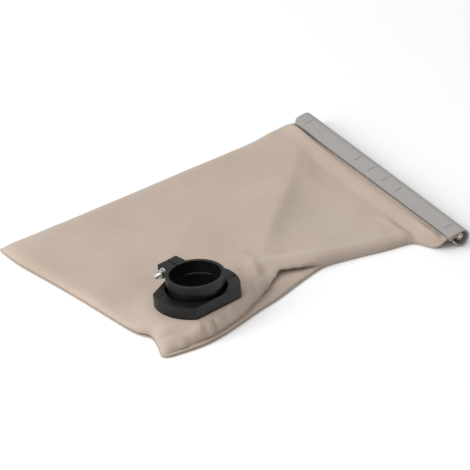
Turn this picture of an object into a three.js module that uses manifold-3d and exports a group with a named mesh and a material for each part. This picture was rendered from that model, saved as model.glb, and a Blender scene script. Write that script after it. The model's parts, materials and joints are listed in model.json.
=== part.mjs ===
// A reusable cloth dust bag for a floor sander, lying flat and a little puffed up.
// Two cloth panels are sewn together along three sides. A moulded plastic collar is bolted
// through the upper panel near the closed end, and a split ring on it clamps the sander's spout.
// The open end is rolled round a rod, and a plastic rail slides along the roll to shut the bag.
//
// Millimetres, +Z up. +X runs along the bag from the sewn end to the rail, +Y runs across it.

import * as THREE from "three";
import { mergeVertices } from "three/addons/utils/BufferGeometryUtils.js";
import Module from "manifold-3d";

const wasm = await Module();
wasm.setup();

// ---- Driving dimensions ----

const GAP = 0.3; // clearance between pieces that touch
const CLOTH = 1.0; // cloth thickness, with its nap
const SIDES = 64; // facets on the large round walls
const SMALL_SIDES = 20; // facets on bolts, washers and rods

// The bag's plan. The mouth is the straight end that meets the rolled hem.
const MOUTH_X = 341;
const BACK_SIDE = [[MOUTH_X, 108], [324, 112.5], [293, 114.5], [234, 115.5], [114, 114], [-3, 114.5]];
const CLOSED_END = [[-3, 114.5], [-3.6, 106], [-3, 83], [3, 43], [8.5, 3], [13, -38], [17.5, -72],
  [25, -88], [22, -103], [14.5, -119]];
const FRONT_SIDE = [[14.5, -119], [17, -125], [26, -129], [56, -132], [80, -130], [103, -125], [134, -115],
  [162, -108], [193, -99], [221, -93], [250, -98], [271, -104], [290, -109], [308, -113], [318, -117],
  [325, -123], [333, -132], [MOUTH_X, -136]];
const COARSE = 15; // spacing of the cloth's facets
const FINE = 5.5; // and near the collar
const FINE_X = [36, 138];
const FINE_Y = [-132, -32];
const EDGE_STACK = 2.8; // both panels and the seam between them, above the lower panel's top
const PUFF = 6; // how far the upper panel stands up away from its seams
const PUFF_WIDTH = 34; // how far in from a seam it reaches that height
const MOUTH_RISE = 9.1; // how far the lower panel climbs to the rail
const RISE_FROM_X = 319;
const SEAM_WIDTH = 5;
const SEAM_HEIGHT = EDGE_STACK - CLOTH - 2 * GAP;

// The collar, in its own frame: its x runs along the flats, its z up the bore, and z = 0 is the
// flange's underside.
const COLLAR_PLACE = [86, -80, 16.5];
const COLLAR_TURN = THREE.MathUtils.degToRad(5.4);
const COLLAR_TILT = THREE.MathUtils.degToRad(-7); // the front edge rides higher
const BORE_R = 25;
const FLANGE_R = 42;
const FLAT_AT = 31.4; // from the bore's axis to each flat
const BACK_CUT = { x: 11.6, y: 20.8 }; // where the cut corners begin and end
const FLANGE_HEIGHT = 12.5;
const NECK_R = 26.8;
const RIM_R = 28.6;
const RIM_TOP = 26.5;
const RIM_HEIGHT = 8;
const TROUGH_R = 30.2;
const TROUGH_FLOOR = 4.5;
const RIB_WIDTH = 1.6;
const SPIGOT_R = 27;
const SPIGOT_DEPTH = 5.2;
const RELIEF_SLOT = [12.9, 14.5]; // frees the back of the clamp ring, so that it can close
const SPLIT_WIDTH = 1.2;
const LUG = { halfWidth: 11.6, from: 24, to: 40.5, bottom: 14.5 };
const CLAMP_AXIS = { y: 31.8, z: 20.9 };

// Fasteners, as the thread's radius, the hexagon's width across flats and the head's height.
const CLAMP_BOLT = { thread: 2.5, flats: 8, head: 3.5, from: 8.1, to: -23.5 };
const CLAMP_WASHER = { outer: 5.5, thick: 1 };
const CLAMP_NUT = { flats: 8, thick: 4 };
const FLANGE_SCREW = { thread: 2, head: 3.75, headHeight: 2.6, sink: 3.2, length: 20 };
const FLANGE_NUT = { flats: 7, thick: 3.2 };
const SCREW_AT = { x: 34.4, y: 12.5 };
const PATCH = 0.8; // the doubled cloth round the opening
const BACKING = 2.5; // the clamping ring inside the bag

// The rail and the hem that it slides over. Their section is in X and Z round the rod's centre.
const HEM_CENTRE = { x: 353.4, z: 9.9 };
const HEM_Y = [-138, 108.5];
const HEM_R = 4.2;
const ROD_R = 1.75;
const WEB = { low: 0.2, high: 3.0 }; // where the cloth leaves the roll, above the rod's centre
const RAIL_Y = [-139.5, 110];
const RAIL_CORNER = 9; // rounds the long lip's corner at the back end
const RAIL_TIP = 1; // how far the long lip's bead reaches past its straight part
const CLEARANCE = 3; // how far a cutting block runs past what it cuts
const RAIL_R = 8.9;
const RAIL_WALL = 1.7;
const RAIL_ARC = { x: 1, z: -1, top: 97, lip: 216 }; // its round back, from the top to the lower lip
const UPPER_LIP = 14.4;
const LOWER_LIP = 5;
const MARKS = [-110.5, -32.7, -10.9, 10.9, 32.7, 110.5]; // along the rail from its middle
const MARK = { length: 9, width: 1.2, depth: 0.5, x: -4.4 };

// ---- Solids ----

function solid(geometry) {
  const bare = geometry.index ? geometry.toNonIndexed() : geometry.clone();
  bare.deleteAttribute("normal");
  bare.deleteAttribute("uv");
  const merged = mergeVertices(bare, 1e-4);
  return new wasm.Manifold(new wasm.Mesh({
    numProp: 3,
    vertProperties: merged.attributes.position.array,
    triVerts: new Uint32Array(merged.index.array),
  }));
}

function geometryOf(manifold) {
  const mesh = manifold.getMesh();
  const geometry = new THREE.BufferGeometry();
  const points = new Float32Array(mesh.numVert * 3);
  for (let i = 0; i < mesh.numVert; i++) {
    points.set(mesh.vertProperties.subarray(i * mesh.numProp, i * mesh.numProp + 3), i * 3);
  }
  geometry.setAttribute("position", new THREE.BufferAttribute(points, 3));
  geometry.setIndex(new THREE.BufferAttribute(mesh.triVerts, 1));
  geometry.computeVertexNormals();
  return geometry;
}

// A round bar up the z axis.
function bar(radius, bottom, top, sides = SIDES) {
  return new THREE.CylinderGeometry(radius, radius, top - bottom, sides)
    .rotateX(Math.PI / 2)
    .translate(0, 0, (bottom + top) / 2);
}

// A block from its lowest to its highest corner.
function block(low, high) {
  const size = low.map((v, i) => high[i] - v);
  const middle = low.map((v, i) => (high[i] + v) / 2);
  return new THREE.BoxGeometry(...size).translate(...middle);
}

// A ring round the z axis with a square section.
function ring(inner, outer, bottom, top, sides = SIDES) {
  const section = [[inner, bottom], [outer, bottom], [outer, top], [inner, top], [inner, bottom]]
    .map(([r, z]) => new THREE.Vector2(r, z));
  return new THREE.LatheGeometry(section, sides).rotateX(Math.PI / 2);
}

function prism(shape, bottom, top) {
  const depth = top - bottom;
  return new THREE.ExtrudeGeometry(shape, { depth, bevelEnabled: false }).translate(0, 0, bottom);
}

// The flange's outline: a circle with a flat at the front, and at the back a shorter flat with its
// corners cut off aslant.
function flangeShape(radius, flat) {
  const corner = Math.asin(flat / radius);
  const cut = Math.asin(BACK_CUT.y / radius);
  return new THREE.Shape()
    .absarc(0, 0, radius, -corner, cut)
    .lineTo(BACK_CUT.x, flat)
    .lineTo(-BACK_CUT.x, flat)
    .absarc(0, 0, radius, Math.PI - cut, Math.PI + corner)
    .closePath();
}

function flangePrism(radius, flat, bottom, top) {
  const depth = top - bottom;
  const options = { depth, bevelEnabled: false, curveSegments: 20 };
  return new THREE.ExtrudeGeometry(flangeShape(radius, flat), options).translate(0, 0, bottom);
}

function hexagon(flats, bottom, top) {
  return bar(flats / Math.sqrt(3), bottom, top, 6);
}

// ---- The cloth ----

const spline = (points, count) =>
  new THREE.SplineCurve(points.map(([x, y]) => new THREE.Vector2(x, y))).getPoints(count);
const closedEnd = spline(CLOSED_END, 26);
const frontSide = spline(FRONT_SIDE, 38);
const backSide = spline(BACK_SIDE, 10);
const sewnEdge = [...backSide, ...closedEnd.slice(1), ...frontSide];
const outline = new THREE.Shape([...sewnEdge]);

function distanceToSeam(x, y) {
  let best = Infinity;
  for (let i = 1; i < sewnEdge.length; i++) {
    const a = sewnEdge[i - 1];
    const b = sewnEdge[i];
    const [dx, dy] = [b.x - a.x, b.y - a.y];
    const share = ((x - a.x) * dx + (y - a.y) * dy) / (dx * dx + dy * dy || 1);
    const t = THREE.MathUtils.clamp(share, 0, 1);
    best = Math.min(best, Math.hypot(x - a.x - t * dx, y - a.y - t * dy));
  }
  return best;
}

const collarFrame = new THREE.Group();
collarFrame.position.set(...COLLAR_PLACE);
collarFrame.rotation.z = COLLAR_TURN;
const collar = new THREE.Group();
collar.rotation.x = COLLAR_TILT;
collarFrame.add(collar);
collarFrame.updateMatrixWorld(true);
const collarUp = new THREE.Vector3(0, 0, 1).transformDirection(collar.matrixWorld);
const clothUnderCollar = new THREE.Vector3(0, 0, -GAP).applyMatrix4(collar.matrixWorld);

const { smoothstep, lerp } = THREE.MathUtils;

// 1 where the flange presses the cloth flat, falling to 0 round about it.
function underFlange(x, y) {
  const local = collar.worldToLocal(new THREE.Vector3(x, y, COLLAR_PLACE[2]));
  const round = Math.hypot(local.x, local.y) - FLANGE_R;
  const past = Math.max(round, Math.abs(local.y) - FLAT_AT) - 1.3 * FINE;
  const reach = lerp(30, 10, smoothstep(-local.y, 5, 28));
  return 1 - smoothstep(past, 0, reach);
}

const lowerTop = (x) => CLOTH + MOUTH_RISE * smoothstep(x, RISE_FROM_X, MOUTH_X);
const seamTop = (x) => lowerTop(x) + GAP + SEAM_HEIGHT;

function upperTop(x, y) {
  const open = 1 - smoothstep(x, RISE_FROM_X - 10, MOUTH_X);
  const puffed = lowerTop(x) + EDGE_STACK + PUFF * open * smoothstep(distanceToSeam(x, y), 0, PUFF_WIDTH);
  const p = clothUnderCollar;
  const pressed = p.z - (collarUp.x * (x - p.x) + collarUp.y * (y - p.y)) / collarUp.z;
  return lerp(puffed, pressed, underFlange(x, y));
}

// Lines across the cloth, closer together within the fine stretch.
function stations(from, to, fine) {
  const at = [];
  let next = from;
  while (next < to) {
    at.push(next);
    next += next >= fine[0] - COARSE && next < fine[1] ? FINE : COARSE;
  }
  return [...at, to];
}

const stationsX = stations(-12, 348, FINE_X);
const stationsY = stations(-142, 126, FINE_Y);

// A sheet of cloth over a plan, thick below the height that top gives.
function sheet(plan, top, thick, ys = [stationsY[0], stationsY.at(-1)]) {
  const across = stationsX.length - 1;
  const along = ys.length - 1;
  const positions = [];
  for (const drop of [0, thick]) {
    for (const y of ys) {
      for (const x of stationsX) {
        positions.push(x, y, top(x, y) - drop);
      }
    }
  }
  const row = across + 1;
  const under = row * (along + 1);
  const faces = [];
  const quad = (a, b, c, d) => faces.push(a, b, c, a, c, d);
  for (let j = 0; j < along; j++) {
    for (let i = 0; i < across; i++) {
      const at = j * row + i;
      quad(at, at + 1, at + row + 1, at + row);
      quad(under + at, under + at + row, under + at + row + 1, under + at + 1);
    }
  }
  for (let i = 0; i < across; i++) {
    const far = along * row + i;
    quad(i, under + i, under + i + 1, i + 1);
    quad(far, far + 1, under + far + 1, under + far);
  }
  for (let j = 0; j < along; j++) {
    const left = j * row;
    const right = left + across;
    quad(left, left + row, under + left + row, under + left);
    quad(right, under + right, under + right + row, right + row);
  }
  const grid = new THREE.BufferGeometry();
  grid.setAttribute("position", new THREE.Float32BufferAttribute(positions, 3));
  grid.setIndex(faces);
  return solid(grid).intersect(solid(prism(plan, -10, 80)));
}

// The turned-in edges along one side, as a strip just inside the outline.
function seam(side) {
  const inner = side.map((p, i) => {
    const before = side[Math.max(i - 1, 0)];
    const after = side[Math.min(i + 1, side.length - 1)];
    const way = after.clone().sub(before).normalize();
    return new THREE.Vector2(p.x - way.y * SEAM_WIDTH, p.y + way.x * SEAM_WIDTH);
  });
  const strip = new THREE.Shape([...side, ...inner.reverse()]);
  return sheet(strip, seamTop, SEAM_HEIGHT).intersect(solid(prism(outline, -10, 80)));
}

// ---- The collar's moulding ----

function collarBody() {
  let body = solid(flangePrism(FLANGE_R, FLAT_AT, 0, FLANGE_HEIGHT));
  body = body.subtract(solid(bar(TROUGH_R, TROUGH_FLOOR, FLANGE_HEIGHT + 1)));
  for (let i = 0; i < 8; i++) {
    const turn = (i + 0.5) * Math.PI / 4;
    const rib = block([BORE_R, -RIB_WIDTH / 2, 1], [TROUGH_R + 0.3, RIB_WIDTH / 2, FLANGE_HEIGHT - 3]);
    body = body.add(solid(rib.rotateZ(turn)));
  }
  const ringBottom = RIM_TOP - RIM_HEIGHT;
  body = body.add(solid(bar(NECK_R, 1, ringBottom + 1)));
  body = body.add(solid(bar(RIM_R, ringBottom, RIM_TOP)));
  body = body.add(solid(bar(SPIGOT_R, -SPIGOT_DEPTH, 1)));
  const lug = block([-LUG.halfWidth, LUG.from, LUG.bottom], [LUG.halfWidth, LUG.to, RIM_TOP]);
  body = body.add(solid(lug));
  const cuts = [
    bar(BORE_R, -SPIGOT_DEPTH - 1, RIM_TOP + 1),
    block([-RIM_R - 1, 6, RELIEF_SLOT[0]], [RIM_R + 1, RIM_R + 1, RELIEF_SLOT[1]]),
    block([-SPLIT_WIDTH / 2, 0, RELIEF_SLOT[0]], [SPLIT_WIDTH / 2, LUG.to + 1, RIM_TOP + 1]),
    clampBar(CLAMP_BOLT.thread + GAP, -LUG.halfWidth - 1, LUG.halfWidth + 1, SMALL_SIDES),
    clampBar(hexRadius(CLAMP_BOLT.flats) + GAP, CLAMP_BOLT.from, LUG.halfWidth + 1, 6),
  ];
  for (const [x, y] of screwPlaces()) {
    cuts.push(bar(FLANGE_SCREW.thread + GAP, -1, FLANGE_HEIGHT + 1, SMALL_SIDES).translate(x, y, 0));
    const head = FLANGE_SCREW.head + GAP;
    const sunk = FLANGE_HEIGHT - FLANGE_SCREW.sink;
    cuts.push(bar(head, sunk, FLANGE_HEIGHT + 1, SMALL_SIDES).translate(x, y, 0));
  }
  return cuts.reduce((left, cut) => left.subtract(solid(cut)), body);
}

const hexRadius = (flats) => flats / Math.sqrt(3);

// A bar along the clamp bolt's axis, which runs along the collar's x.
function clampBar(radius, from, to, sides) {
  return bar(radius, from, to, sides).rotateY(Math.PI / 2).translate(0, CLAMP_AXIS.y, CLAMP_AXIS.z);
}

function screwPlaces() {
  const { x, y } = SCREW_AT;
  return [[x, y], [-x, y], [-x, -y], [x, -y]];
}

// A flat ring of the flange's outline, with the screws' holes.
function clampedRing(radius, flat, opening, bottom, top) {
  let plate = solid(flangePrism(radius, flat, bottom, top));
  plate = plate.subtract(solid(bar(opening, bottom - 1, top + 1)));
  return drillForScrews(plate);
}

function drillForScrews(plate) {
  for (const [x, y] of screwPlaces()) {
    const hole = bar(FLANGE_SCREW.thread + GAP, -40, 40, SMALL_SIDES).translate(x, y, 0);
    plate = plate.subtract(solid(hole));
  }
  return plate;
}

// ---- Fasteners ----

function flangeScrew() {
  const seat = FLANGE_HEIGHT - FLANGE_SCREW.sink + GAP;
  const head = solid(bar(FLANGE_SCREW.head, seat, seat + FLANGE_SCREW.headHeight, SMALL_SIDES));
  const shank = bar(FLANGE_SCREW.thread, seat - FLANGE_SCREW.length, seat + 0.5, SMALL_SIDES);
  const slot = block([-5, -0.5, seat + FLANGE_SCREW.headHeight - 1], [5, 0.5, seat + 5]);
  return head.add(solid(shank)).subtract(solid(slot));
}

function nut(flats, thread, bottom, top) {
  const hole = bar(thread + GAP, bottom - 1, top + 1, SMALL_SIDES);
  return solid(hexagon(flats, bottom, top)).subtract(solid(hole));
}

function clampBolt() {
  const { thread, flats, head, from, to } = CLAMP_BOLT;
  const shank = clampBar(thread, to, from + 1, SMALL_SIDES);
  const hex = clampBar(hexRadius(flats), from + GAP, from + GAP + head, 6);
  return solid(shank).add(solid(hex));
}

// Turns a piece made up the z axis to lie along the clamp bolt.
function ontoClampAxis(manifold) {
  const geometry = geometryOf(manifold).rotateY(Math.PI / 2);
  return geometry.translate(0, CLAMP_AXIS.y, CLAMP_AXIS.z);
}

// ---- The rail and its hem ----

const radians = THREE.MathUtils.degToRad;

function arcPoints(radius, from, to, steps) {
  const points = [];
  for (let i = 0; i <= steps; i++) {
    const angle = radians(lerp(from, to, i / steps));
    points.push([RAIL_ARC.x + radius * Math.cos(angle), RAIL_ARC.z + radius * Math.sin(angle)]);
  }
  return points;
}

// A hooked section: a round back, a long flat lip above the mouth and a short one below it.
function railSection() {
  const { top, lip } = RAIL_ARC;
  const ahead = (angle, length) => [-Math.sin(radians(angle)) * length, Math.cos(radians(angle)) * length];
  const back = (angle, length) => ahead(angle, -length);
  const plus = (p, d) => [p[0] + d[0], p[1] + d[1]];
  const outer = arcPoints(RAIL_R, lip - 360, top, 26);
  const inner = arcPoints(RAIL_R - RAIL_WALL, top, lip - 360, 26);
  const points = [
    plus(outer[0], back(lip, LOWER_LIP)),
    ...outer,
    plus(outer.at(-1), ahead(top, UPPER_LIP)),
    plus(inner[0], ahead(top, UPPER_LIP)),
    ...inner,
    plus(inner.at(-1), back(lip, LOWER_LIP)),
  ];
  return new THREE.Shape(points.map(([x, z]) => new THREE.Vector2(x, z)));
}

// Extrudes a section drawn in X and Z along Y.
function alongHem(shape, [from, to]) {
  return prism(shape, -to, -from)
    .rotateX(Math.PI / 2)
    .translate(HEM_CENTRE.x, 0, HEM_CENTRE.z);
}

function railBody() {
  let rail = solid(alongHem(railSection(), RAIL_Y));
  const middle = (RAIL_Y[0] + RAIL_Y[1]) / 2;
  const slope = radians(RAIL_ARC.top - 90);
  const topZ = RAIL_ARC.z + RAIL_R / Math.cos(slope) + (MARK.x - RAIL_ARC.x) * Math.tan(slope);
  for (const along of MARKS) {
    const half = MARK.length / 2;
    const groove = block([-half, -MARK.width / 2, -MARK.depth], [half, MARK.width / 2, 2]);
    groove.rotateY(-slope);
    groove.translate(HEM_CENTRE.x + MARK.x, middle + along, HEM_CENTRE.z + topZ);
    rail = rail.subtract(solid(groove));
  }
  const end = RAIL_Y[1];
  const lipSide = HEM_CENTRE.x + RAIL_ARC.x - UPPER_LIP - RAIL_TIP;
  const low = [lipSide - CLEARANCE, end - RAIL_CORNER, HEM_CENTRE.z + HEM_R];
  const high = [lipSide + RAIL_CORNER, end + CLEARANCE, HEM_CENTRE.z + 2 * RAIL_R];
  const round = bar(RAIL_CORNER, 0, high[2] + CLEARANCE).translate(high[0], low[1], 0);
  return rail.subtract(solid(block(low, high)).subtract(solid(round)));
}

function hemBody() {
  const webEnd = MOUTH_X + GAP - HEM_CENTRE.x;
  const roll = new THREE.Shape().absarc(0, 0, HEM_R, 0, Math.PI * 2);
  const web = new THREE.Shape([[webEnd, WEB.low], [0, WEB.low], [0, WEB.high], [webEnd, WEB.high]]
    .map(([x, z]) => new THREE.Vector2(x, z)));
  const hole = new THREE.Shape().absarc(0, 0, ROD_R + GAP, 0, Math.PI * 2);
  return solid(alongHem(roll, HEM_Y))
    .add(solid(alongHem(web, HEM_Y)))
    .subtract(solid(alongHem(hole, [HEM_Y[0] - 1, HEM_Y[1] + 1])));
}

// ---- Materials ----

const paint = (color, roughness, metalness = 0) =>
  new THREE.MeshStandardMaterial({ color, roughness, metalness });
const cotton = paint(0xc4b6a6, 0.95);
const thread = paint(0xd6cabb, 0.9);
const blackPlastic = paint(0x232226, 0.5);
const greyPlastic = paint(0xa9a8a4, 0.45);
const whitePlastic = paint(0xe4e2dc, 0.5);
const zinc = paint(0xb9bcb6, 0.3, 1);
const blackSteel = paint(0x2c2c2f, 0.4, 1);

// ---- Assembly ----

const bag = new THREE.Group();
bag.add(collarFrame);

function place(parent, name, made, material) {
  const geometry = made.isBufferGeometry ? made : geometryOf(made);
  const mesh = new THREE.Mesh(geometry, material);
  mesh.name = name;
  parent.add(mesh);
  return mesh;
}

const opening = solid(bar(SPIGOT_R + GAP, -20, 20)
  .applyMatrix4(collar.matrixWorld));
let upperPanel = sheet(outline, upperTop, CLOTH, stationsY).subtract(opening);
for (const [x, y] of screwPlaces()) {
  const hole = bar(FLANGE_SCREW.thread + GAP, -20, 20, 12).translate(x, y, 0);
  upperPanel = upperPanel.subtract(solid(hole.applyMatrix4(collar.matrixWorld)));
}
place(bag, "upper_panel", upperPanel, cotton);
place(bag, "lower_panel", sheet(outline, lowerTop, CLOTH), cotton);
place(bag, "back_seam", seam(backSide), thread);
place(bag, "end_seam", seam(closedEnd.slice(3, -2)), thread);
place(bag, "front_seam", seam(frontSide.slice(1)), thread);

place(bag, "hem_roll", hemBody(), cotton);
const rodShape = new THREE.Shape().absarc(0, 0, ROD_R, 0, Math.PI * 2);
place(bag, "hem_rod", alongHem(rodShape, HEM_Y), whitePlastic);
place(bag, "closure_rail", railBody(), greyPlastic);

place(collar, "collar_body", collarBody(), blackPlastic);
const patchTop = -2 * GAP - CLOTH;
const patch = clampedRing(FLANGE_R - 0.5, FLAT_AT - 0.5, SPIGOT_R + GAP, patchTop - PATCH, patchTop);
place(collar, "opening_patch", patch, cotton);
const ringTop = patchTop - PATCH - GAP;
const backing = clampedRing(FLANGE_R - 1, FLAT_AT - 1, SPIGOT_R + GAP, ringTop - BACKING, ringTop);
place(collar, "backing_ring", backing, blackPlastic);
const nutTop = ringTop - BACKING - GAP;
screwPlaces().forEach(([x, y], i) => {
  place(collar, `flange_screw_${i + 1}`, flangeScrew(), blackSteel).position.set(x, y, 0);
  const hex = nut(FLANGE_NUT.flats, FLANGE_SCREW.thread, nutTop - FLANGE_NUT.thick, nutTop);
  place(collar, `flange_nut_${i + 1}`, hex, zinc).position.set(x, y, 0);
});

place(collar, "clamp_bolt", clampBolt(), zinc);
const washerAt = -LUG.halfWidth - GAP;
const washerSpan = [washerAt - CLAMP_WASHER.thick, washerAt];
const washer = ring(CLAMP_BOLT.thread + GAP, CLAMP_WASHER.outer, ...washerSpan, 32);
place(collar, "clamp_washer", ontoClampAxis(solid(washer)), zinc);
const nutAt = washerAt - CLAMP_WASHER.thick - GAP;
const clampNut = nut(CLAMP_NUT.flats, CLAMP_BOLT.thread, nutAt - CLAMP_NUT.thick, nutAt);
place(collar, "clamp_nut", ontoClampAxis(clampNut), zinc);

// The part's origin is under the middle of the whole object, on the surface that it lies on.
const bounds = new THREE.Box3().setFromObject(bag, true);
const middle = bounds.getCenter(new THREE.Vector3());
bag.position.set(-middle.x, -middle.y, -bounds.min.z);

export default bag;
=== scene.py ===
import json
import math

import bmesh
import bpy
from mathutils import Matrix, Vector, noise


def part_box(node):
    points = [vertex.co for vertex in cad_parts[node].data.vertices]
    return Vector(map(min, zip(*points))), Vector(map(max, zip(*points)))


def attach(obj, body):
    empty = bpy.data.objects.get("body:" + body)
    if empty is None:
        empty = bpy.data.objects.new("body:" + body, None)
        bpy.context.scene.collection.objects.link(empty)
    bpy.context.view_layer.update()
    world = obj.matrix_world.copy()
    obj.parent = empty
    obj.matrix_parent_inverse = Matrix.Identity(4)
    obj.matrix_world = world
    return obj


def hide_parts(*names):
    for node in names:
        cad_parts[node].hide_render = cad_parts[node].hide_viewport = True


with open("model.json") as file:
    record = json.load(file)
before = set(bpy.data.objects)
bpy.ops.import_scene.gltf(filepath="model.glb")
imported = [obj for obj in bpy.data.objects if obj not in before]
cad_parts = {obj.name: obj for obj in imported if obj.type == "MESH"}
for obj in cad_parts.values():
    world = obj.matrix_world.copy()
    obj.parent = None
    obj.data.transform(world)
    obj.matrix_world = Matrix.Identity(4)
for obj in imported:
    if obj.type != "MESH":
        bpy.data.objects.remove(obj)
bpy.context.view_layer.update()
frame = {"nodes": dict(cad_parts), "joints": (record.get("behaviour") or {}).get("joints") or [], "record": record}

MM = 0.001

# ---- Camera, light and floor ----
# A long lens, from the front left and above, so that parallel edges stay parallel. The floor is a
# pale studio sheet under soft light, brightest from the left.
aim = Vector((0.0126, 0.0156, 0.0))
distance = 17.364
azimuth, elevation = math.radians(-36.6), math.radians(34.1)
level = math.cos(elevation)
away = Vector((math.sin(azimuth) * level, -math.cos(azimuth) * level, math.sin(elevation)))
camera_data = bpy.data.cameras.new("camera")
camera_data.lens = 1400
camera_data.sensor_width = 36
camera_data.clip_end = 50
camera = bpy.data.objects.new("camera", camera_data)
camera.location = aim + distance * away
camera.rotation_euler = (-away).to_track_quat("-Z", "Y").to_euler()
bpy.context.scene.collection.objects.link(camera)
bpy.context.scene.camera = camera


def soft_light(name, place, size, watts):
    """A square soft light, turned toward the middle of the floor."""
    lamp = bpy.data.lights.new(name, "AREA")
    lamp.size = size
    lamp.energy = watts
    light = bpy.data.objects.new(name, lamp)
    light.location = place
    light.rotation_euler = (-Vector(place)).to_track_quat("-Z", "Y").to_euler()
    bpy.context.scene.collection.objects.link(light)


soft_light("window", (-1.75, 0.35, 1.15), 1.5, 36)
soft_light("overhead", (0.0, 0.5, 2.0), 2.6, 15)

world = bpy.data.worlds.new("studio")
bpy.context.scene.world = world
world.use_nodes = True
world.node_tree.nodes["Background"].inputs["Color"].default_value = (1.0, 1.0, 1.0, 1)
world.node_tree.nodes["Background"].inputs["Strength"].default_value = 0.55
bpy.context.scene.view_settings.view_transform = "Standard"


def new_material(name, colour, roughness, metallic=0.0):
    """A material with its shader's plain values set, and its node tree to build on."""
    material = bpy.data.materials.new(name)
    material.use_nodes = True
    shader = material.node_tree.nodes["Principled BSDF"]
    shader.inputs["Base Color"].default_value = (*colour, 1)
    shader.inputs["Roughness"].default_value = roughness
    shader.inputs["Metallic"].default_value = metallic
    return material, material.node_tree.nodes, material.node_tree.links, shader


def from_bmesh(name, shape, material, smooth_below=35):
    """Makes an object of a finished bmesh, with edges sharper than an angle left sharp."""
    mesh = bpy.data.meshes.new(name)
    limit = math.radians(smooth_below)
    for face in shape.faces:
        face.smooth = True
    for edge in shape.edges:
        if len(edge.link_faces) == 2:
            edge.smooth = edge.calc_face_angle(0) < limit
    shape.to_mesh(mesh)
    shape.free()
    mesh.materials.append(material)
    piece = bpy.data.objects.new(name, mesh)
    bpy.context.scene.collection.objects.link(piece)
    return piece


floor_material = new_material("studio_sheet", (0.93, 0.93, 0.93), 0.9)[0]
shape = bmesh.new()
bmesh.ops.create_grid(shape, x_segments=1, y_segments=1, size=6)
bmesh.ops.translate(shape, vec=(0, 0, -0.0004), verts=shape.verts)
floor = from_bmesh("studio_floor", shape, floor_material)

# ---- Where the collar sits ----
# The collar is bolted on aslant, so its bore leans toward the back. Its own axes are x along its
# flats, y toward the lug and z up the bore, from the underside of the flange.
rim_mount = next(m for m in frame["record"]["mounts"] if m["name"] == "spout_rim")
nut_joint = next(j for j in frame["joints"] if j["name"] == "nut_turn")
collar_z = Vector(rim_mount["axis"]).normalized()
collar_x = -Vector(nut_joint["axis"]).normalized()
collar_y = collar_z.cross(collar_x)
NECK_R, RIM_TOP = 26.8, 26.5
collar_origin = Vector(rim_mount["pos_m"]) + NECK_R * MM * collar_y - RIM_TOP * MM * collar_z
collar_turn = Matrix((collar_x, collar_y, collar_z)).transposed().to_4x4()
collar_place = Matrix.Translation(collar_origin) @ collar_turn
into_collar = collar_place.inverted()

# ---- Upper cloth ----
# One panel of undyed woven cotton, sewn to the lower panel along three sides and clamped under the
# collar's flange. It is taut in a ridge from the rail's back end, and slack in rolls by the collar.
# Its outline is drawn in millimetres from a point on the closed end, level with the collar.
panel_low, panel_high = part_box("lower_panel")
FROM_LEFT, FROM_BACK = 3.7, 115.5
plan_origin = Vector((panel_low.x + FROM_LEFT * MM, panel_high.y - FROM_BACK * MM, 0))
BAG_LENGTH, MOUTH_X = 345, 341
CUT_WIDTH, CUT_LENGTH = 0.25, 0.352
CLOTH = 0.9
BACK_EDGE = [(-3, 114.5), (114, 114), (234, 115.5), (293, 114.5), (324, 112.5), (MOUTH_X, 108)]
CLOSED_EDGE = [(14.5, -119), (22, -103), (25, -88), (17.5, -72), (13, -38), (8.5, 3), (3, 43),
               (-3, 83), (-3.6, 106), (-3, 114.5)]
FRONT_EDGE = [(14.5, -119), (17, -123.5), (26, -126), (56, -129), (80, -127), (103, -122),
              (134, -114), (162, -108), (193, -98.7), (221, -91.7), (236, -91.6), (250, -94.4),
              (271, -99), (290, -103.4), (308, -106.5), (317, -108.6), (322, -113), (327, -123),
              (333, -132), (MOUTH_X, -136)]
MOUTH_EDGE = [(MOUTH_X, -136), (MOUTH_X, 108)]


def smooth(t):
    """Eases from 0 to 1 as t does, and stays there on either side."""
    t = min(max(t, 0.0), 1.0)
    return t * t * (3 - 2 * t)


def mix(a, b, t):
    return a + (b - a) * t


def graph(table, x):
    """Reads a value off a table of (x, value), smoothly between its entries."""
    if x <= table[0][0]:
        return table[0][1]
    for (x0, a), (x1, b) in zip(table, table[1:]):
        if x <= x1:
            return mix(a, b, smooth((x - x0) / (x1 - x0)))
    return table[-1][1]


def walk(points, steps=10):
    """A smooth line through points, as a function of the share of its length."""
    vectors = [Vector(p) for p in points]
    line = [vectors[0]]
    for i in range(len(vectors) - 1):
        p0 = vectors[max(i - 1, 0)]
        p1, p2 = vectors[i], vectors[i + 1]
        p3 = vectors[min(i + 2, len(vectors) - 1)]
        for k in range(1, steps + 1):
            t = k / steps
            bend = (2 * p0 - 5 * p1 + 4 * p2 - p3) * t * t + (3 * p1 - p0 - 3 * p2 + p3) * t ** 3
            line.append(p1 + 0.5 * ((p2 - p0) * t + bend))
    reach = [0.0]
    for a, b in zip(line, line[1:]):
        reach.append(reach[-1] + (b - a).length)

    def at(share):
        goal = min(max(share, 0.0), 1.0) * reach[-1]
        low, high = 0, len(reach) - 1
        while high - low > 1:
            half = (low + high) // 2
            if reach[half] <= goal:
                low = half
            else:
                high = half
        return line[low].lerp(line[high], (goal - reach[low]) / max(reach[high] - reach[low], 1e-9))

    return at


front, back = walk(FRONT_EDGE), walk(BACK_EDGE)
closed, mouth = walk(CLOSED_EDGE), walk(MOUTH_EDGE)


def plan(u, v):
    """A point of the cloth's plan: u runs from the closed end to the mouth, v from front to back."""
    sides = front(u) * (1 - v) + back(u) * v + closed(v) * (1 - u) + mouth(v) * u
    corners = (front(0) * (1 - u) + front(1) * u) * (1 - v) + (back(0) * (1 - u) + back(1) * u) * v
    return sides - corners


FLAT_TOP, CLIMB = 1.0, 10.0


def lower_top(x, y):
    """Height of the lower panel's top. It climbs to the rail, late at the front, early at the back."""
    start = 319 + 9 * smooth((-y - 100) / 25) - 22 * smooth((y - 35) / 60)
    return FLAT_TOP + CLIMB * smooth((x - start) / (MOUTH_X - start))


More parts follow.
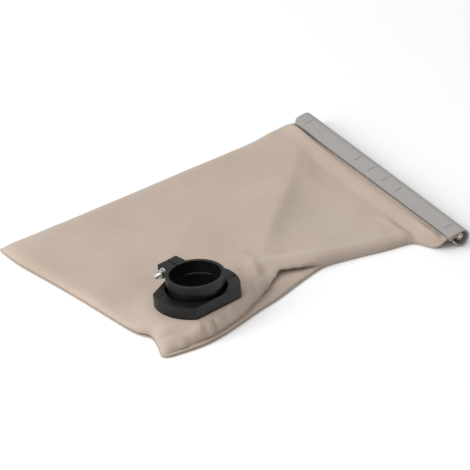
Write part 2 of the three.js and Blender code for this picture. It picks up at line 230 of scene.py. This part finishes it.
# Folds of the upper panel, each along a line: its heights, and how far it spreads to its left and
# right as one walks the line. First the long ridge, then the rolls and hollows in front of the
# collar, the gathers by the rail, the slack folds, and the crease along the rail's back end.
FOLDS = [
    ([(319, 96), (317, 67), (257, 15), (215, -21), (190, -42)], [1.8, 3.2, 5.2, 5.4, 2.4], 12, 34),
    ([(118, -112), (138, -103), (152, -85), (164, -66), (172, -42)], [1.6, 4.4, 6.6, 6.0, 0.8], 4, 7),
    ([(126, -100), (140, -87), (152, -68), (158, -48)], [-0.4, -2.2, -2.4, -0.3], 5, 4),
    ([(166, -60), (180, -63), (196, -69), (212, -76), (248, -90), (280, -99), (306, -105)],
     [0.6, 3.8, 4.6, 4.2, 3.4, 2.6, 1.2], 9, 8),
    ([(174, -28), (185, -44), (198, -56), (225, -67)], [-1.2, -4.4, -3.8, -0.8], 8, 7),
    ([(168, -92), (169, -78), (172, -68)], [-0.6, -3.0, -0.6], 4, 4),
    ([(172, -80), (181, -80), (190, -84)], [1.0, 2.0, 1.0], 6, 5),
    ([(313, -50), (314, -80), (316, -108)], [0.3, 2.2, 2.2], 6, 4),
    ([(322, -66), (322, -92), (323, -116)], [-0.2, -2.4, -2.6], 3.5, 3.5),
    ([(331, -86), (331, -108), (332, -124)], [0.4, 2.4, 2.6], 3.5, 3.5),
    ([(337, -100), (337, -116), (338, -130)], [-0.2, -1.6, -1.8], 2.5, 2.5),
    ([(300, -52), (302, -78), (298, -100)], [0.1, 0.9, 0.4], 6, 5),
    ([(20, -112), (42, -112), (60, -106)], [1.0, 2.2, 0.4], 8, 8),
    ([(28, -74), (48, -60), (62, -44)], [0.6, 1.2, 0.2], 10, 10),
    ([(120, -8), (160, 30), (215, 82)], [0.2, 0.8, 0.1], 16, 16),
    ([(18, 34), (90, 78), (160, 100)], [0.1, 0.6, 0.1], 14, 14),
    ([(322, 64), (300, 30), (296, 0)], [0.6, 1.3, 0.2], 6, 12),
    ([(332.5, 112), (333, 90), (333.5, 62), (333, 10)], [0.8, 5.6, 3.6, 0.3], 4, 8),
]


FOLD_ROUNDING, FOLD_END = 4.0, 40


def fold_height(point, fold):
    """What one fold adds to the height at a point, rounded at its crest and fading past its ends."""
    line, heights, left, right = fold
    rounding = min(FOLD_ROUNDING, 0.45 * min(left, right))
    best, found = 1e9, 0.0
    for i in range(len(line) - 1):
        a, b = Vector(line[i]), Vector(line[i + 1])
        along = b - a
        t = (point - a).dot(along) / along.length_squared
        nearest = a + along * min(max(t, 0.0), 1.0)
        off = (point - nearest).length
        if off < best:
            side = along.x * (point.y - a.y) - along.y * (point.x - a.x)
            width = left if side > 0 else right
            height = mix(heights[i], heights[i + 1], smooth(t))
            beyond = max(-t, t - 1, 0.0) * along.length
            fall = (math.hypot(off, rounding) - rounding) / width
            height *= math.exp(-fall - 0.35 * fall * fall)
            best, found = off, height * math.exp(-beyond / FOLD_END)
    return found


# The flange's outline, the cloth's top in the collar's frame, and about how high the flange lies.
FLANGE_R, FLANGE_FLAT = 42.0, 31.4
UNDER_FLANGE, FLANGE_HEIGHT = -0.3, 16.5


def to_row(point, z):
    """A point of the plan, at a height, as a place in the object's own frame."""
    return Vector((plan_origin.x + point.x * MM, plan_origin.y + point.y * MM, z * MM))


def press(point):
    """How firmly the flange holds the cloth here, and the height it is held at."""
    local = into_collar @ to_row(point, FLANGE_HEIGHT)
    across, along = local.x / MM, local.y / MM
    past = max(math.hypot(across, along) - FLANGE_R, abs(along) - FLANGE_FLAT)
    reach = mix(34, 12, smooth((-along - 8) / 20))
    reach = mix(reach, 19, smooth((across - 20) / 18) * smooth((along + 30) / 20))
    firm = 1 - smooth((past - 1.0) / reach)
    held = collar_origin + UNDER_FLANGE * MM * collar_z
    out = to_row(point, 0) - held
    height = held.z - (collar_z.x * out.x + collar_z.y * out.y) / collar_z.z
    return firm, height / MM


def quarter_round(distance, reach):
    """Rises from 0 at a seam to 1 at its reach, as the side of a cushion does."""
    return math.sqrt(max(1 - (1 - min(distance / reach, 1)) ** 2, 0))


# The upper panel's top where it lies slack, along its seams, at the hem and at least above the lower.
SLACK_TOP, SEAM_TOP, HEM_TOP, LEAST_GAP = 8.5, 2.6, 12.8, 1.6
CLOSED_END_ROUND = 14.0


def upper_height(point, to_closed, to_back):
    """Height of the upper panel's top, away from the front wall."""
    x, y = point
    # Uneven slack, with a hollow before the rail, and the folds.
    z = SLACK_TOP + 0.9 * noise.noise(Vector((x / 70, y / 55, 2.0)))
    z += 0.35 * noise.noise(Vector((x / 26, y / 20, 5.0)))
    z -= 1.6 * math.exp(-(((x - 285) / 34) ** 2 + ((y + 30) / 44) ** 2))
    z += sum(fold_height(point, fold) for fold in FOLDS)
    # The back corner rises to the rail, and so does the whole mouth, less toward the back.
    z += 3.4 * smooth((x - 262) / 60) * smooth((y - 40) / 60)
    mouth_rise = 5.2 * smooth((x - 319) / 13) - 0.9 * smooth((x - 333) / 6)
    z += mouth_rise * mix(1, 0.35, smooth((y - 10) / 70))
    # The flange holds it down, and it rounds over to the seams and runs level into the rail.
    firm, held = press(point)
    z = mix(z, held, firm)
    z = mix(SEAM_TOP, z, quarter_round(to_closed, CLOSED_END_ROUND))
    back_round = mix(15, 8, smooth((x - 280) / 40))
    z = mix(SEAM_TOP + lower_top(x, y) - FLAT_TOP, z, quarter_round(to_back, back_round))
    z = mix(z, HEM_TOP, smooth((x - 334.6) / 4.2))
    return max(z, lower_top(x, y) + LEAST_GAP)


# The strip of cloth that lies flat outside the front wall, and the wall's own width and bulge, each
# against the front edge's x. Pleats in the wall are (x, height, half width).
STRIP = [(14, 2), (32, 3.5), (56, 5.5), (82, 5.5), (110, 6), (136, 11.5), (154, 18), (168, 29),
         (180, 32), (192, 24), (203, 16), (212, 9), (222, 2.5), (230, 0.8), (MOUTH_X, 0.8)]
WALL = [(14, 9), (40, 9.5), (56, 6.5), (118, 7), (136, 10), (154, 11), (168, 5), (192, 4),
        (206, 6), (222, 8), (MOUTH_X, 8)]
BULGE = [(14, 1.0), (56, 1.6), (110, 2.2), (140, 3.4), (156, 5.0), (170, 9.0), (200, 9.0),
         (213, 5.0), (226, 2.4), (300, 2.2), (MOUTH_X, 1.2)]
PLEATS = [(38, 1.6, 4.5), (47, -1.2, 3), (58, 0.8, 2.5), (69, 1.9, 2.6), (75.5, -1.9, 2.2),
          (82, 1.4, 2.4), (90, -0.8, 2), (98, 1.2, 3), (107, -0.9, 2.2), (118, -0.8, 3)]
PLEAT_DEPTH = 1.4
STRIP_FOOT, STRIP_CROWN, STRIP_LEAST = 1.3, 1.0, 2.3
WALL_FOOT = 1.9
COLUMNS, ROWS = 190, 128
STRIP_ROWS, WALL_ROWS = 7, 18


def cloth_grid(columns, rows):
    """A flat grid, with a map of its threads in metres, to be laid out as a panel."""
    shape = bmesh.new()
    threads = shape.loops.layers.uv.new("threads")
    bmesh.ops.create_grid(shape, x_segments=columns, y_segments=rows, size=0.5)
    for face in shape.faces:
        for loop in face.loops:
            co = loop.vert.co
            loop[threads].uv = ((co.x + 0.5) * CUT_LENGTH, (co.y + 0.5) * CUT_WIDTH)
    return shape


def upper_point(u, row):
    """A point of the upper panel's plan, and its height: the strip, the front wall, then the rest."""
    edge = front(u)
    width = (back(u) - edge).length
    to_closed = u * BAG_LENGTH
    strip = graph(STRIP, edge.x) / width
    wall = graph(WALL, edge.x) / width
    if row <= STRIP_ROWS:
        t = row / STRIP_ROWS
        v = strip * t
        point = plan(u, v)
        swollen = math.sin(math.pi * min(t * 1.3, 1)) ** 0.7 * smooth(strip * width / 6)
        lift = mix(STRIP_FOOT + STRIP_CROWN * swollen, WALL_FOOT, smooth(t * 2 - 1))
        return point, max(lower_top(*point) + lift * smooth(0.4 + to_closed / 6), STRIP_LEAST)
    t = min((row - STRIP_ROWS) / WALL_ROWS, 1.0)
    rest = max(row - STRIP_ROWS - WALL_ROWS, 0) / (ROWS - STRIP_ROWS - WALL_ROWS)
    v = strip + wall * t + (1 - strip - wall) * rest
    point = plan(u, v)
    if rest > 0:
        return point, upper_height(point, to_closed, (1 - v) * width)
    crown = strip + wall
    top = upper_height(plan(u, crown), to_closed, (1 - crown) * width)
    foot = lower_top(*point) + WALL_FOOT
    swell = graph(BULGE, edge.x) * math.sin(math.pi * t ** 0.8) ** 1.1
    pleat = sum(PLEAT_DEPTH * h * math.exp(-((point.x - x) / w) ** 2) for x, h, w in PLEATS)
    swell += pleat * math.sin(math.pi * t ** 0.7)
    point = point - Vector((0, 1)) * swell * smooth(to_closed / 14)
    return point, mix(foot, top, math.sin(t * math.pi / 2) ** 0.85)


# The wall between the collar and the rail hangs over its own foot, and is smoothed once it is laid.
OVERHANG_FROM, OVERHANG_TO, ROWS_ABOVE = 0.42, 0.9, 8
shape = cloth_grid(COLUMNS, ROWS)
overhang = []
for vert in shape.verts:
    u, row = vert.co.x + 0.5, round((vert.co.y + 0.5) * ROWS)
    point, z = upper_point(u, row)
    vert.co = to_row(point, z)
    in_wall = STRIP_ROWS < row < STRIP_ROWS + WALL_ROWS + ROWS_ABOVE
    if in_wall and OVERHANG_FROM < u < OVERHANG_TO:
        overhang.append(vert)
for _ in range(4):
    bmesh.ops.smooth_vert(shape, verts=overhang, factor=0.5, use_axis_x=True, use_axis_y=True,
                          use_axis_z=True)

# The round opening under the collar: the faces inside it go, and its rim is drawn to a true circle.
OPENING_R = 27.4
axis_distance = {v: Vector((into_collar @ v.co).xy).length / MM for v in shape.verts}
inside = [f for f in shape.faces if all(axis_distance[v] < OPENING_R + 0.4 for v in f.verts)]
bmesh.ops.delete(shape, geom=inside, context="FACES")
for vert in shape.verts:
    if vert.is_boundary and axis_distance[vert] < OPENING_R + 4:
        local = into_collar @ vert.co
        rim = Vector((local.x, local.y)).normalized() * OPENING_R * MM
        vert.co = collar_place @ Vector((rim.x, rim.y, local.z))


def woven_cotton(name, warm, pale, thread_pitch=0.00062):
    """Plain woven cotton, undyed: crossed threads, slubs, small creases and a faint mottle."""
    material, nodes, links, shader = new_material(name, warm, 0.92)
    shader.inputs["Sheen Weight"].default_value = 0.25
    shader.inputs["Sheen Roughness"].default_value = 0.6
    shader.inputs["Specular IOR Level"].default_value = 0.2
    threads = nodes.new("ShaderNodeUVMap")
    threads.uv_map = "threads"
    place = nodes.new("ShaderNodeTexCoord")
    crossed = []
    for direction in ("X", "Y"):
        wave = nodes.new("ShaderNodeTexWave")
        wave.bands_direction = direction
        wave.inputs["Scale"].default_value = 2 * math.pi / 20 / thread_pitch
        wave.inputs["Distortion"].default_value = 1.2
        wave.inputs["Detail"].default_value = 1.0
        wave.inputs["Detail Scale"].default_value = 0.4
        links.new(threads.outputs["UV"], wave.inputs["Vector"])
        crossed.append(wave)
    weave = nodes.new("ShaderNodeMath")
    weave.operation = "MULTIPLY"
    links.new(crossed[0].outputs["Fac"], weave.inputs[0])
    links.new(crossed[1].outputs["Fac"], weave.inputs[1])
    stretch = nodes.new("ShaderNodeMapping")
    stretch.inputs["Scale"].default_value = (70, 620, 1)
    links.new(threads.outputs["UV"], stretch.inputs["Vector"])
    slubs = nodes.new("ShaderNodeTexNoise")
    slubs.inputs["Scale"].default_value = 1.0
    slubs.inputs["Detail"].default_value = 2.0
    links.new(stretch.outputs["Vector"], slubs.inputs["Vector"])
    creases = nodes.new("ShaderNodeTexNoise")
    creases.inputs["Scale"].default_value = 55
    creases.inputs["Detail"].default_value = 5
    creases.inputs["Roughness"].default_value = 0.55
    links.new(place.outputs["Object"], creases.inputs["Vector"])
    mottle = nodes.new("ShaderNodeTexNoise")
    mottle.inputs["Scale"].default_value = 14
    mottle.inputs["Detail"].default_value = 4
    links.new(place.outputs["Object"], mottle.inputs["Vector"])
    tones = nodes.new("ShaderNodeValToRGB")
    tones.color_ramp.elements[0].position = 0.35
    tones.color_ramp.elements[0].color = (*warm, 1)
    tones.color_ramp.elements[1].position = 0.68
    tones.color_ramp.elements[1].color = (*pale, 1)
    links.new(mottle.outputs["Fac"], tones.inputs["Fac"])
    dark_gaps = nodes.new("ShaderNodeMapRange")
    dark_gaps.inputs["To Min"].default_value = 0.88
    dark_gaps.inputs["To Max"].default_value = 1.05
    links.new(weave.outputs["Value"], dark_gaps.inputs["Value"])
    flecks = nodes.new("ShaderNodeMapRange")
    flecks.inputs["From Min"].default_value = 0.3
    flecks.inputs["From Max"].default_value = 0.75
    flecks.inputs["To Min"].default_value = 0.97
    flecks.inputs["To Max"].default_value = 1.03
    links.new(slubs.outputs["Fac"], flecks.inputs["Value"])
    shade = nodes.new("ShaderNodeMath")
    shade.operation = "MULTIPLY"
    links.new(dark_gaps.outputs["Result"], shade.inputs[0])
    links.new(flecks.outputs["Result"], shade.inputs[1])
    tinted = nodes.new("ShaderNodeVectorMath")
    tinted.operation = "SCALE"
    links.new(tones.outputs["Color"], tinted.inputs[0])
    links.new(shade.outputs["Value"], tinted.inputs["Scale"])
    links.new(tinted.outputs["Vector"], shader.inputs["Base Color"])
    crumple = nodes.new("ShaderNodeBump")
    crumple.inputs["Strength"].default_value = 0.35
    crumple.inputs["Distance"].default_value = 0.0016
    links.new(creases.outputs["Fac"], crumple.inputs["Height"])
    fine = nodes.new("ShaderNodeBump")
    fine.inputs["Strength"].default_value = 0.45
    fine.inputs["Distance"].default_value = 0.00012
    links.new(weave.outputs["Value"], fine.inputs["Height"])
    links.new(crumple.outputs["Normal"], fine.inputs["Normal"])
    links.new(fine.outputs["Normal"], shader.inputs["Normal"])
    return material


cotton = woven_cotton("undyed_cotton", (0.445, 0.353, 0.284), (0.480, 0.391, 0.322))


def thicken(piece, thickness, offset=-1.0):
    """Gives a sheet its wall: below its face at an offset of -1, above it at 1."""
    solidify = piece.modifiers.new("thickness", "SOLIDIFY")
    solidify.thickness = thickness * MM
    solidify.offset = offset
    solidify.use_even_offset = False


upper_cloth = from_bmesh("upper_cloth", shape, cotton, 80)
thicken(upper_cloth, CLOTH)
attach(upper_cloth, "bag")
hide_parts("upper_panel")

# ---- Lower cloth ----
# The second panel of the same cotton, lying on the floor. It climbs to the hem at the mouth, and its
# sewn edges turn up a little to meet the upper panel's.
EDGE_LIFT, UNEVEN = 0.35, 0.25
shape = cloth_grid(110, 76)
for vert in shape.verts:
    u, v = vert.co.x + 0.5, vert.co.y + 0.5
    point = plan(u, v)
    width = (back(u) - front(u)).length
    edge = min(v * width, (1 - v) * width, u * BAG_LENGTH)
    z = lower_top(*point) + EDGE_LIFT * math.exp(-edge / 1.5)
    z += UNEVEN * (1 + noise.noise(Vector((point.x / 30, point.y / 30, 9.0)))) * smooth(edge / 20)
    vert.co = to_row(point, z)
lower_cloth = from_bmesh("lower_cloth", shape, cotton, 80)
thicken(lower_cloth, CLOTH)
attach(lower_cloth, "bag")
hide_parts("lower_panel")

# ---- Seam allowances ----
# The two panels' cut edges, turned in and overlocked, lie inside the bag along the three sewn sides.
# Each is a narrow strip of the same cotton, which the overlocking thread makes coarser.
ALLOWANCE_INSET, ALLOWANCE_WIDTH, ALLOWANCE_THICKNESS = 1.6, 4.4, 0.8
ALLOWANCE_LIFT = 0.28
seam_cotton = woven_cotton("seam_cotton", (0.45, 0.37, 0.30), (0.50, 0.42, 0.35), 0.0011)


def seam_allowance(name, node, edge_of, inward, start, stop, count):
    """A strip inside one sewn side, from one share of the side's length to another."""
    shape = bmesh.new()
    threads = shape.loops.layers.uv.new("threads")
    bmesh.ops.create_grid(shape, x_segments=count, y_segments=3, size=0.5)
    for face in shape.faces:
        for loop in face.loops:
            loop[threads].uv = ((loop.vert.co.x + 0.5) * 0.3, loop.vert.co.y * 0.006)
    for vert in shape.verts:
        share = mix(start, stop, vert.co.x + 0.5)
        edge = edge_of(share)
        way = (edge_of(min(share + 0.01, 1)) - edge_of(max(share - 0.01, 0))).normalized()
        side = Vector((-way.y, way.x)) * inward
        point = edge + side * (ALLOWANCE_INSET + ALLOWANCE_WIDTH * (vert.co.y + 0.5))
        vert.co = to_row(point, lower_top(*point) + ALLOWANCE_LIFT)
    piece = from_bmesh(name, shape, seam_cotton, 80)
    thicken(piece, ALLOWANCE_THICKNESS, 1.0)
    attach(piece, "bag")
    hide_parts(node)
    return piece


allowances = [
    seam_allowance("back_seam_allowance", "back_seam", back, -1, 0.02, 0.93, 90),
    seam_allowance("end_seam_allowance", "end_seam", closed, -1, 0.10, 0.97, 60),
    seam_allowance("front_seam_allowance", "front_seam", front, 1, 0.06, 0.86, 90),
]

# ---- Hem ----
# At the mouth both panels run through the rail's slot, and the cloth is rolled one and a half times
# round a rod and sewn, which makes the bead that the rail slides along.
hem_low, hem_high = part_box("hem_roll")
rod_low, rod_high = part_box("hem_rod")
rod_centre = (rod_low + rod_high) / 2


def extruded(sections, from_y, to_y, pieces):
    """Sections in millimetres from the rod, drawn out along the hem and cut across into pieces."""
    shape = bmesh.new()
    threads = shape.loops.layers.uv.new("threads")
    for section in sections:
        ring = [shape.verts.new((rod_centre.x + x * MM, from_y, rod_centre.z + z * MM)) for x, z in section]
        face = shape.faces.new(ring)
        caps = bmesh.ops.extrude_face_region(shape, geom=[face], use_keep_orig=True)["geom"]
        moved = [g for g in caps if isinstance(g, bmesh.types.BMVert)]
        bmesh.ops.translate(shape, vec=(0, to_y - from_y, 0), verts=moved)
    bmesh.ops.recalc_face_normals(shape, faces=shape.faces)
    for k in range(1, pieces):
        y = mix(from_y, to_y, k / pieces)
        everything = shape.verts[:] + shape.edges[:] + shape.faces[:]
        bmesh.ops.bisect_plane(shape, geom=everything, plane_co=(0, y, 0), plane_no=(0, 1, 0))
    for face in shape.faces:
        for loop in face.loops:
            co = loop.vert.co
            loop[threads].uv = (co.y, co.x + co.z)
    return shape


def ribbon(path, thickness):
    """The outline of a strip of even thickness, bent along a path."""
    left, right = [], []
    for i, point in enumerate(path):
        ahead = path[min(i + 1, len(path) - 1)]
        behind = path[max(i - 1, 0)]
        way = (Vector(ahead) - Vector(behind)).normalized() * thickness / 2
        left.append((point[0] - way.y, point[1] + way.x))
        right.append((point[0] + way.y, point[1] - way.x))
    return left + right[::-1]


# The upper cloth comes in level, meets the roll and winds inward one layer a turn, which is 36 steps.
# The lower cloth comes in beneath it and ends against the roll.
LAYER, ROLL_R, ROLL_PITCH = 0.82, 3.74, 0.9
ROLL_START, STEP_TURN, ROLL_STEPS = 140, 10, 58
END_GAP, HEM_PIECES = 0.0004, 24
web_end = (hem_low.x - rod_centre.x) / MM - 0.2
roll = [(web_end, 2.44), (-8, 2.46), (-4.6, 2.48)]
for step in range(ROLL_STEPS):
    angle = math.radians(ROLL_START - step * STEP_TURN)
    radius = ROLL_R - ROLL_PITCH * step / 36
    roll.append((radius * math.cos(angle), radius * math.sin(angle)))
under = [(web_end, 0.62), (-9, 0.66), (-6.5, 0.9), (-4.35, 1.35)]
shape = extruded([ribbon(roll, LAYER), ribbon(under, LAYER)], hem_low.y + END_GAP,
                 hem_high.y - END_GAP, HEM_PIECES)
# The stitching makes it wave a little along its length, and its cut ends are uneven.
WAVE, RAGGED = 0.00012, 0.0004
for vert in shape.verts:
    wave = noise.noise(Vector((vert.co.y * 38, 0.3, 1.7)))
    near_end = math.exp(-min(vert.co.y - hem_low.y, hem_high.y - vert.co.y) / 0.006)
    vert.co.z += WAVE * wave
    vert.co.y += RAGGED * near_end * noise.noise(vert.co * 260)
hem = from_bmesh("rolled_hem", shape, cotton, 50)
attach(hem, "bag")
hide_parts("hem_roll")

# ---- Rod in the hem ----
# A drawn plastic rod, which fills the rolled hem so that it can't be pulled through the rail's slot.
# It is sawn off a little short of the hem's ends, where it shows inside the roll.
ROD_R, ROD_EDGE, SAWN_SHORT = 0.00172, 0.0003, 0.001
white_plastic, nodes, links, shader = new_material("white_plastic", (0.72, 0.70, 0.66), 0.45)
grain = nodes.new("ShaderNodeTexNoise")
grain.inputs["Scale"].default_value = 900
roughened = nodes.new("ShaderNodeBump")
roughened.inputs["Strength"].default_value = 0.2
roughened.inputs["Distance"].default_value = 0.00005
place = nodes.new("ShaderNodeTexCoord")
links.new(place.outputs["Object"], grain.inputs["Vector"])
links.new(grain.outputs["Fac"], roughened.inputs["Height"])
links.new(roughened.outputs["Normal"], shader.inputs["Normal"])
shape = bmesh.new()
rod_length = rod_high.y - rod_low.y - SAWN_SHORT
bmesh.ops.create_cone(shape, cap_ends=True, segments=32, radius1=ROD_R, radius2=ROD_R, depth=rod_length)
rims = [e for e in shape.edges if e.calc_face_angle(0) > 1.2]
bmesh.ops.bevel(shape, geom=rims, offset=ROD_EDGE, affect="EDGES", segments=2, profile=0.5, material=-1)
bmesh.ops.rotate(shape, matrix=Matrix.Rotation(math.pi / 2, 3, "X"), verts=shape.verts)
bmesh.ops.translate(shape, vec=rod_centre, verts=shape.verts)
rod = from_bmesh("hem_rod_bar", shape, white_plastic)
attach(rod, "bag")
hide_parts("hem_rod")

# ---- Closure rail ----
# One length of extruded grey plastic with a hooked section, open at both ends. Six short marks are
# pressed across its top, and the long lip's corner is rounded at the back end.
MERGE_WITHIN, FLAT_WITHIN = 2e-6, math.radians(1.0)


def satin_plastic(name, dark, pale, roughness, streak, speck, shine=0.5):
    """Plastic with a fine skin: faint streaks or mottle in its colour, and a slight uneven gloss."""
    material, nodes, links, shader = new_material(name, dark, roughness)
    shader.inputs["Specular IOR Level"].default_value = shine
    place = nodes.new("ShaderNodeTexCoord")
    drawn = nodes.new("ShaderNodeMapping")
    drawn.inputs["Scale"].default_value = streak
    links.new(place.outputs["Object"], drawn.inputs["Vector"])
    tone = nodes.new("ShaderNodeTexNoise")
    tone.inputs["Scale"].default_value = 1.0
    tone.inputs["Detail"].default_value = 4
    links.new(drawn.outputs["Vector"], tone.inputs["Vector"])
    ramp = nodes.new("ShaderNodeValToRGB")
    ramp.color_ramp.elements[0].position = 0.3
    ramp.color_ramp.elements[0].color = (*dark, 1)
    ramp.color_ramp.elements[1].position = 0.7
    ramp.color_ramp.elements[1].color = (*pale, 1)
    links.new(tone.outputs["Fac"], ramp.inputs["Fac"])
    links.new(ramp.outputs["Color"], shader.inputs["Base Color"])
    skin = nodes.new("ShaderNodeTexNoise")
    skin.inputs["Scale"].default_value = speck
    skin.inputs["Detail"].default_value = 3
    links.new(place.outputs["Object"], skin.inputs["Vector"])
    gloss = nodes.new("ShaderNodeMapRange")
    gloss.inputs["To Min"].default_value = roughness - 0.07
    gloss.inputs["To Max"].default_value = roughness + 0.09
    links.new(tone.outputs["Fac"], gloss.inputs["Value"])
    links.new(gloss.outputs["Result"], shader.inputs["Roughness"])
    bump = nodes.new("ShaderNodeBump")
    bump.inputs["Strength"].default_value = 0.25
    bump.inputs["Distance"].default_value = 0.00006
    links.new(skin.outputs["Fac"], bump.inputs["Height"])
    links.new(bump.outputs["Normal"], shader.inputs["Normal"])
    return material


def rounded_copy(name, node, material, width, body, smooth_below=32, segments=2):
    """A piece of a CAD node's exact shape, with its facets cleaned and its sharp edges rounded."""
    shape = bmesh.new()
    shape.from_mesh(frame["nodes"][node].data)
    bmesh.ops.remove_doubles(shape, verts=shape.verts, dist=MERGE_WITHIN)
    bmesh.ops.dissolve_limit(shape, angle_limit=FLAT_WITHIN, verts=shape.verts, edges=shape.edges)
    for layer in list(shape.loops.layers.uv):
        shape.loops.layers.uv.remove(layer)
    piece = from_bmesh(name, shape, material, smooth_below)
    bevel = piece.modifiers.new("rounded_edges", "BEVEL")
    bevel.width = width * MM
    bevel.segments = segments
    bevel.limit_method = "ANGLE"
    bevel.angle_limit = math.radians(smooth_below + 3)
    bevel.use_clamp_overlap = True
    bevel.harden_normals = True
    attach(piece, body)
    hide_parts(node)


grey_plastic = satin_plastic("grey_plastic", (0.305, 0.29, 0.278), (0.345, 0.33, 0.318), 0.42,
                             streak=(60, 4, 60), speck=1600)
rounded_copy("slide_on_rail", "closure_rail", grey_plastic, 0.25, "rail", 25)

# ---- Collar ----
# One black moulding: a flange, a neck in a shallow trough, and a split ring with a lug that the clamp
# bolt crosses. It is moulded in a satin black plastic, with every edge slightly rounded.
black_plastic = satin_plastic("black_plastic", (0.0035, 0.0032, 0.0032), (0.0065, 0.0060, 0.0060), 0.38,
                              streak=(90, 90, 90), speck=2200, shine=0.3)
rounded_copy("collar_moulding", "collar_body", black_plastic, 0.45, "bag", 30, 3)

# ---- Under the flange ----
# A doubled ring of the same cotton round the opening, and a flat plastic ring that the flange's nuts
# draw up against it from inside the bag.
rounded_copy("doubled_patch", "opening_patch", seam_cotton, 0.2, "bag")
rounded_copy("backing_plate", "backing_ring", black_plastic, 0.3, "bag")


# ---- Flange screws and nuts ----
# Four blackened steel machine screws with slotted round heads, sunk in the flange, and the zinc plated
# nuts that draw them down against the backing ring inside the bag.
def plated(name, dark, pale, roughness, metallic=1.0):
    """Plated steel, a little uneven in colour and gloss."""
    material, nodes, links, shader = new_material(name, dark, roughness, metallic)
    place = nodes.new("ShaderNodeTexCoord")
    cloud = nodes.new("ShaderNodeTexNoise")
    cloud.inputs["Scale"].default_value = 420
    cloud.inputs["Detail"].default_value = 5
    links.new(place.outputs["Object"], cloud.inputs["Vector"])
    ramp = nodes.new("ShaderNodeValToRGB")
    ramp.color_ramp.elements[0].position = 0.35
    ramp.color_ramp.elements[0].color = (*dark, 1)
    ramp.color_ramp.elements[1].position = 0.65
    ramp.color_ramp.elements[1].color = (*pale, 1)
    links.new(cloud.outputs["Fac"], ramp.inputs["Fac"])
    links.new(ramp.outputs["Color"], shader.inputs["Base Color"])
    gloss = nodes.new("ShaderNodeMapRange")
    gloss.inputs["To Min"].default_value = roughness - 0.08
    gloss.inputs["To Max"].default_value = roughness + 0.12
    links.new(cloud.outputs["Fac"], gloss.inputs["Value"])
    links.new(gloss.outputs["Result"], shader.inputs["Roughness"])
    bump = nodes.new("ShaderNodeBump")
    bump.inputs["Strength"].default_value = 0.15
    bump.inputs["Distance"].default_value = 0.00004
    links.new(cloud.outputs["Fac"], bump.inputs["Height"])
    links.new(bump.outputs["Normal"], shader.inputs["Normal"])
    return material


zinc = plated("zinc_plate", (0.50, 0.51, 0.49), (0.68, 0.69, 0.66), 0.28)
black_steel = plated("blackened_steel", (0.030, 0.030, 0.032), (0.055, 0.055, 0.058), 0.34, 0.8)
for n in range(1, 5):
    rounded_copy(f"sunk_screw_{n}", f"flange_screw_{n}", black_steel, 0.25, "bag", 30)
    rounded_copy(f"inner_nut_{n}", f"flange_nut_{n}", zinc, 0.3, "bag", 30)

# ---- Clamp bolt, washer and nut ----
# A zinc plated bolt whose hexagon head is held in the lug, with a washer and a nut on its far side.
# Tightening the nut closes the split ring on the spout.
BOLT_R, ROOT_R, PITCH = 2.5, 2.08, 0.8
UNDER_HEAD, HEAD, HEAD_FLATS, HEAD_EDGE = -8.1, 3.5, 8.0, 0.3
THREAD_FROM, BOLT_TIP, RUN_OUT = UNDER_HEAD + 3, 23.5, 1.4
bolt_line = into_collar @ Vector(nut_joint["pos_m"])
along_bolt = Matrix(((0, 0, -1), (1, 0, 0), (0, -1, 0))).to_4x4()
bolt_place = collar_place @ Matrix.Translation((0, bolt_line.y, bolt_line.z)) @ along_bolt
profile = [(0, UNDER_HEAD - 0.5), (BOLT_R, UNDER_HEAD - 0.5), (BOLT_R, THREAD_FROM)]
z = THREAD_FROM
while z < BOLT_TIP - RUN_OUT:
    profile += [(ROOT_R, z + PITCH * 0.42), (ROOT_R, z + PITCH * 0.5)]
    profile += [(BOLT_R, z + PITCH * 0.88), (BOLT_R, z + PITCH)]
    z += PITCH
profile += [(ROOT_R - 0.1, BOLT_TIP - 0.25), (ROOT_R - 0.4, BOLT_TIP), (0, BOLT_TIP)]
shape = bmesh.new()
chain = [shape.verts.new((r * MM, 0, h * MM)) for r, h in profile]
for a, b in zip(chain, chain[1:]):
    shape.edges.new((a, b))
bmesh.ops.spin(shape, geom=shape.verts[:] + shape.edges[:], cent=(0, 0, 0), axis=(0, 0, 1), dvec=(0, 0, 0),
               angle=2 * math.pi, steps=32, use_merge=True)
bmesh.ops.remove_doubles(shape, verts=shape.verts, dist=1e-6)
corner_r = HEAD_FLATS / 2 / math.cos(math.pi / 6) * MM
hexagon = bmesh.ops.create_cone(shape, cap_ends=True, segments=6, radius1=corner_r, radius2=corner_r,
                                depth=HEAD * MM)
bmesh.ops.translate(shape, vec=(0, 0, (UNDER_HEAD - HEAD / 2) * MM), verts=hexagon["verts"])
head_edges = list({e for v in hexagon["verts"] for e in v.link_edges})
bmesh.ops.bevel(shape, geom=head_edges, offset=HEAD_EDGE * MM, affect="EDGES", segments=2, profile=0.5,
                material=-1)
bmesh.ops.recalc_face_normals(shape, faces=shape.faces)
bmesh.ops.transform(shape, matrix=bolt_place, verts=shape.verts)
bolt = from_bmesh("clamp_hex_bolt", shape, zinc, 28)
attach(bolt, "bag")
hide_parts("clamp_bolt")
rounded_copy("clamp_washer_disc", "clamp_washer", zinc, 0.18, "washer", 30)
rounded_copy("clamp_hex_nut", "clamp_nut", zinc, 0.45, "nut", 30)
